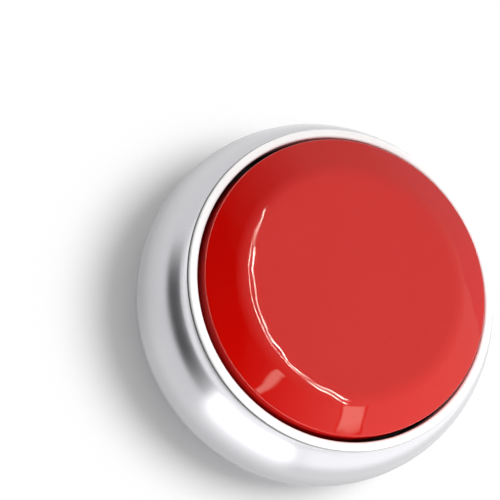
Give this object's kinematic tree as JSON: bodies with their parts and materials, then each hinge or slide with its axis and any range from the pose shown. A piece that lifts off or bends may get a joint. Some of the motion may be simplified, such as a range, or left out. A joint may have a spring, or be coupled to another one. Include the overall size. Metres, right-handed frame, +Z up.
{
  "type": "talking clock",
  "caption": "Round silver desk unit with a large red push button in a white ring; pressing it speaks the time. Setting keys, speaker grille and battery door underneath.",
  "frame": {"origin": "on the table, at the middle of the four rubber feet, under the axis of the push button", "axes": "+Z up along the button's axis; -Y towards the speaker, +Y towards the battery compartment; +X towards the battery door's latch"},
  "size_m": [0.09, 0.09, 0.0433],
  "materials": {
    "silver_paint": "satin silver lacquer on moulded plastic",
    "white_gloss": "glossy moulded plastic",
    "red_gloss": "glossy moulded plastic, a little translucent",
    "inner_plastic": "plain moulded plastic",
    "cover_grey": "fine spark texture",
    "key_grey": "satin",
    "screw_steel": "zinc plated",
    "spring_steel": "drawn wire",
    "silicone": "matt silicone",
    "board_green": "solder mask over glass fibre",
    "epoxy_black": "cast epoxy",
    "crystal_can": "drawn can",
    "capacitor_sleeve": "shrunk sleeve",
    "switch_black": "moulded",
    "foot_rubber": "matt rubber",
    "cell_wrap": "printed wrap, no marks",
    "contact_nickel": "nickel plated spring steel",
    "speaker_steel": "zinc plated sheet",
    "cone_film": "thin film",
    "terminal_board": "paper laminate",
    "wire_red": "soft sleeve",
    "wire_black": "soft sleeve"
  },
  "bodies": {
    "case": {"upper_housing": "silver_paint", "bezel_ring": "white_gloss", "return_springs": "spring_steel", "button_carrier": "inner_plastic", "switch_dome": "silicone", "main_board": "board_green", "board_screws": "screw_steel", "voice_chip": "epoxy_black", "clock_crystal": "crystal_can", "capacitors": "capacitor_sleeve", "chip_resistors": "epoxy_black", "key_switches": "switch_black", "bottom_cover": "cover_grey", "cover_screws": "screw_steel", "rubber_feet": "foot_rubber", "front_cell": "cell_wrap", "rear_cell": "cell_wrap", "bridge_contact": "contact_nickel", "positive_contact": "contact_nickel", "negative_contact": "contact_nickel", "speaker_gasket": "foot_rubber", "speaker_frame": "speaker_steel", "speaker_cone": "cone_film", "speaker_magnet": "speaker_steel", "speaker_terminals": "terminal_board", "speaker_wires": "wire_red", "battery_wires": "wire_black"},
    "push_button": {"button_cap": "red_gloss", "post_screws": "screw_steel"},
    "mode_button": {"mode_key": "key_grey", "mode_plunger": "inner_plastic"},
    "set_button": {"set_key": "key_grey", "set_plunger": "inner_plastic"},
    "plus_button": {"plus_key": "key_grey", "plus_plunger": "inner_plastic"},
    "minus_button": {"minus_key": "key_grey", "minus_plunger": "inner_plastic"},
    "door": {"battery_door": "cover_grey"}
  },
  "joints": [
    {"name": "button_press", "type": "slide", "parent": "case", "child": "push_button", "axis": [0, 0, -1], "range_m": [0, 0.0025], "stiffness_N_per_m": 600, "springref_m": -0.004, "deforming": ["return_springs", "switch_dome"]},
    {"name": "mode_press", "type": "slide", "parent": "case", "child": "mode_button", "axis": [0, 0, 1], "range_m": [0, 0.0005], "stiffness_N_per_m": 1200, "springref_m": -0.0006},
    {"name": "set_press", "type": "slide", "parent": "case", "child": "set_button", "axis": [0, 0, 1], "range_m": [0, 0.0005], "stiffness_N_per_m": 1200, "springref_m": -0.0006},
    {"name": "plus_press", "type": "slide", "parent": "case", "child": "plus_button", "axis": [0, 0, 1], "range_m": [0, 0.0005], "stiffness_N_per_m": 1200, "springref_m": -0.0006},
    {"name": "minus_press", "type": "slide", "parent": "case", "child": "minus_button", "axis": [0, 0, 1], "range_m": [0, 0.0005], "stiffness_N_per_m": 1200, "springref_m": -0.0006},
    {"name": "door_hinge", "type": "hinge", "parent": "case", "child": "door", "pos_m": [-0.02343, 0.0122, 0.00158], "axis": [0, 1, 0], "range_deg": [0, 95]}
  ]
}
